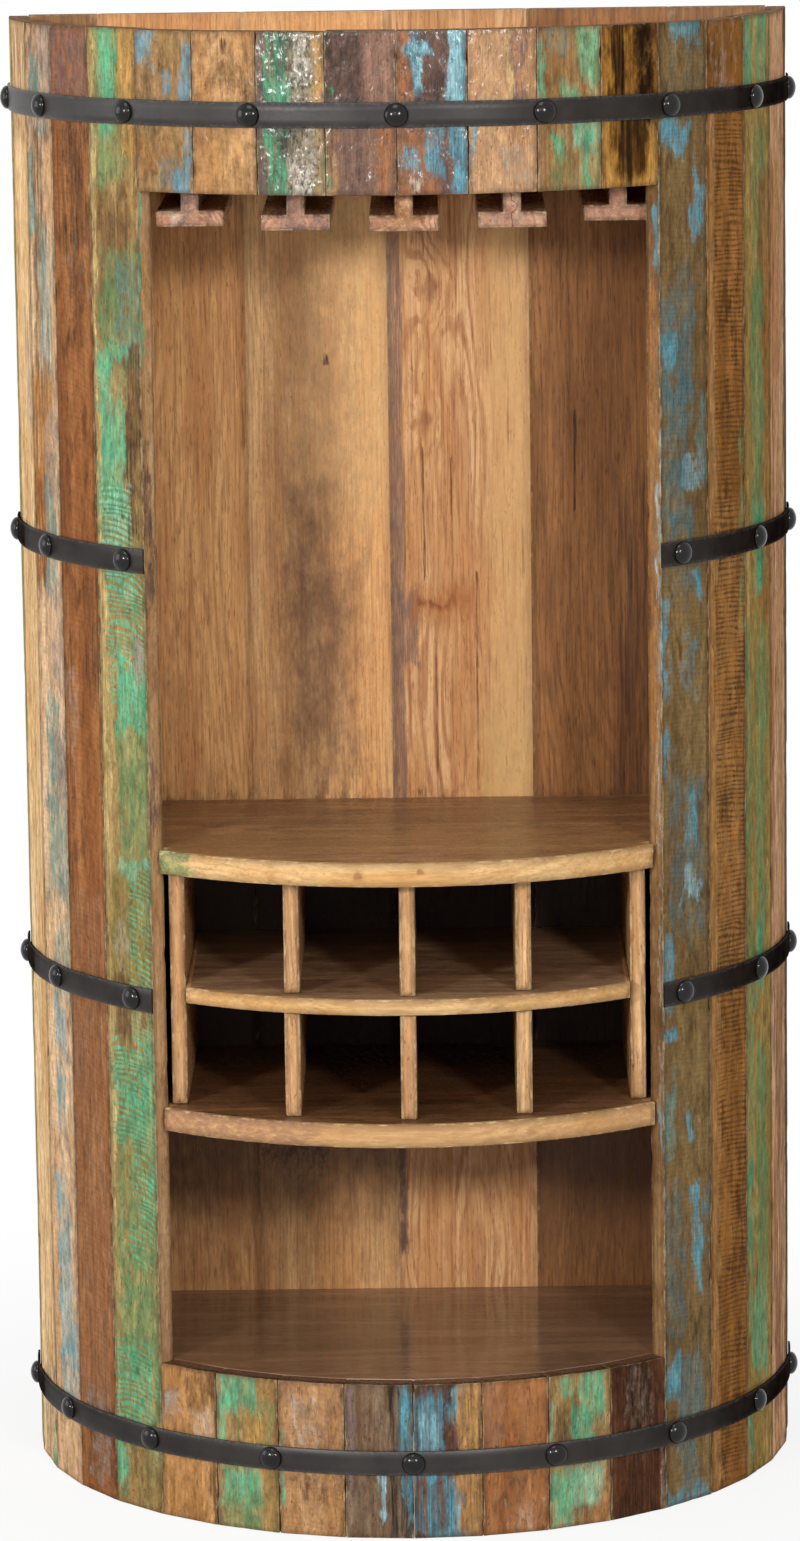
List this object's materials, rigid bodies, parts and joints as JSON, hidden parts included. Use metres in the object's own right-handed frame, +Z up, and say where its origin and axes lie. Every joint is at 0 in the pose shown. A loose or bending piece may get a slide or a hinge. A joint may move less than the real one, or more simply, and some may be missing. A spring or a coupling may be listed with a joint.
{
  "type": "wine bar cabinet",
  "caption": "Half-barrel bar cabinet of reclaimed staves and riveted steel hoops, with glass rails under the top, open shelves and a bottle rack.",
  "frame": {"origin": "middle of the footprint, on the floor that the cabinet stands on", "axes": "+Z up, +Y towards the flat back, so the open front faces -Y, and +X to the right as seen from the front"},
  "size_m": [0.8162, 0.4102, 1.512],
  "materials": {
    "stave_mint": "worn green paint on reclaimed wood",
    "stave_olive": "worn olive and blue paint on reclaimed wood",
    "stave_tan": "waxed bare reclaimed wood",
    "stave_red_brown": "waxed red-brown reclaimed wood",
    "stave_dark": "stained dark reclaimed wood with flecks of paint",
    "stave_grey": "weathered grey reclaimed wood",
    "back_plank": "waxed sawn planks",
    "top_board": "varnished wood",
    "shelf": "varnished wood with a pale curved edge",
    "floor_board": "glossy dark varnish",
    "rack": "waxed pale wood",
    "glass_rail": "waxed pinkish hardwood",
    "hoop": "blackened steel, satin"
  },
  "bodies": {
    "root": {"side_stave_left_1": "stave_mint", "side_stave_left_2": "stave_red_brown", "side_stave_left_3": "stave_grey", "side_stave_left_4": "stave_tan", "side_stave_left_5": "stave_grey", "side_stave_right_1": "stave_olive", "side_stave_right_2": "stave_red_brown", "side_stave_right_3": "stave_olive", "side_stave_right_4": "stave_tan", "side_stave_right_5": "stave_grey", "fascia_stave_1": "stave_olive", "fascia_stave_2": "stave_tan", "fascia_stave_3": "stave_mint", "fascia_stave_4": "stave_dark", "fascia_stave_5": "stave_dark", "fascia_stave_6": "stave_tan", "fascia_stave_7": "stave_olive", "fascia_stave_8": "stave_tan", "base_stave_1": "stave_tan", "base_stave_2": "stave_mint", "base_stave_3": "stave_tan", "base_stave_4": "stave_grey", "base_stave_5": "stave_dark", "base_stave_6": "stave_red_brown", "base_stave_7": "stave_olive", "base_stave_8": "stave_dark", "back_plank_1": "back_plank", "back_plank_2": "back_plank", "back_plank_3": "back_plank", "back_plank_4": "back_plank", "back_plank_5": "back_plank", "back_plank_6": "back_plank", "top_board": "top_board", "upper_shelf": "shelf", "lower_shelf": "shelf", "floor_board": "floor_board", "rack_end_left": "rack", "rack_end_right": "rack", "rack_mid_shelf": "rack", "rack_divider_upper_1": "rack", "rack_divider_upper_2": "rack", "rack_divider_upper_3": "rack", "rack_divider_lower_1": "rack", "rack_divider_lower_2": "rack", "rack_divider_lower_3": "rack", "glass_rail_1": "glass_rail", "glass_rail_2": "glass_rail", "glass_rail_3": "glass_rail", "glass_rail_4": "glass_rail", "glass_rail_5": "glass_rail", "hoop_top": "hoop", "hoop_bottom": "hoop", "hoop_upper_left": "hoop", "hoop_upper_right": "hoop", "hoop_lower_left": "hoop", "hoop_lower_right": "hoop"}
  },
  "joints": []
}
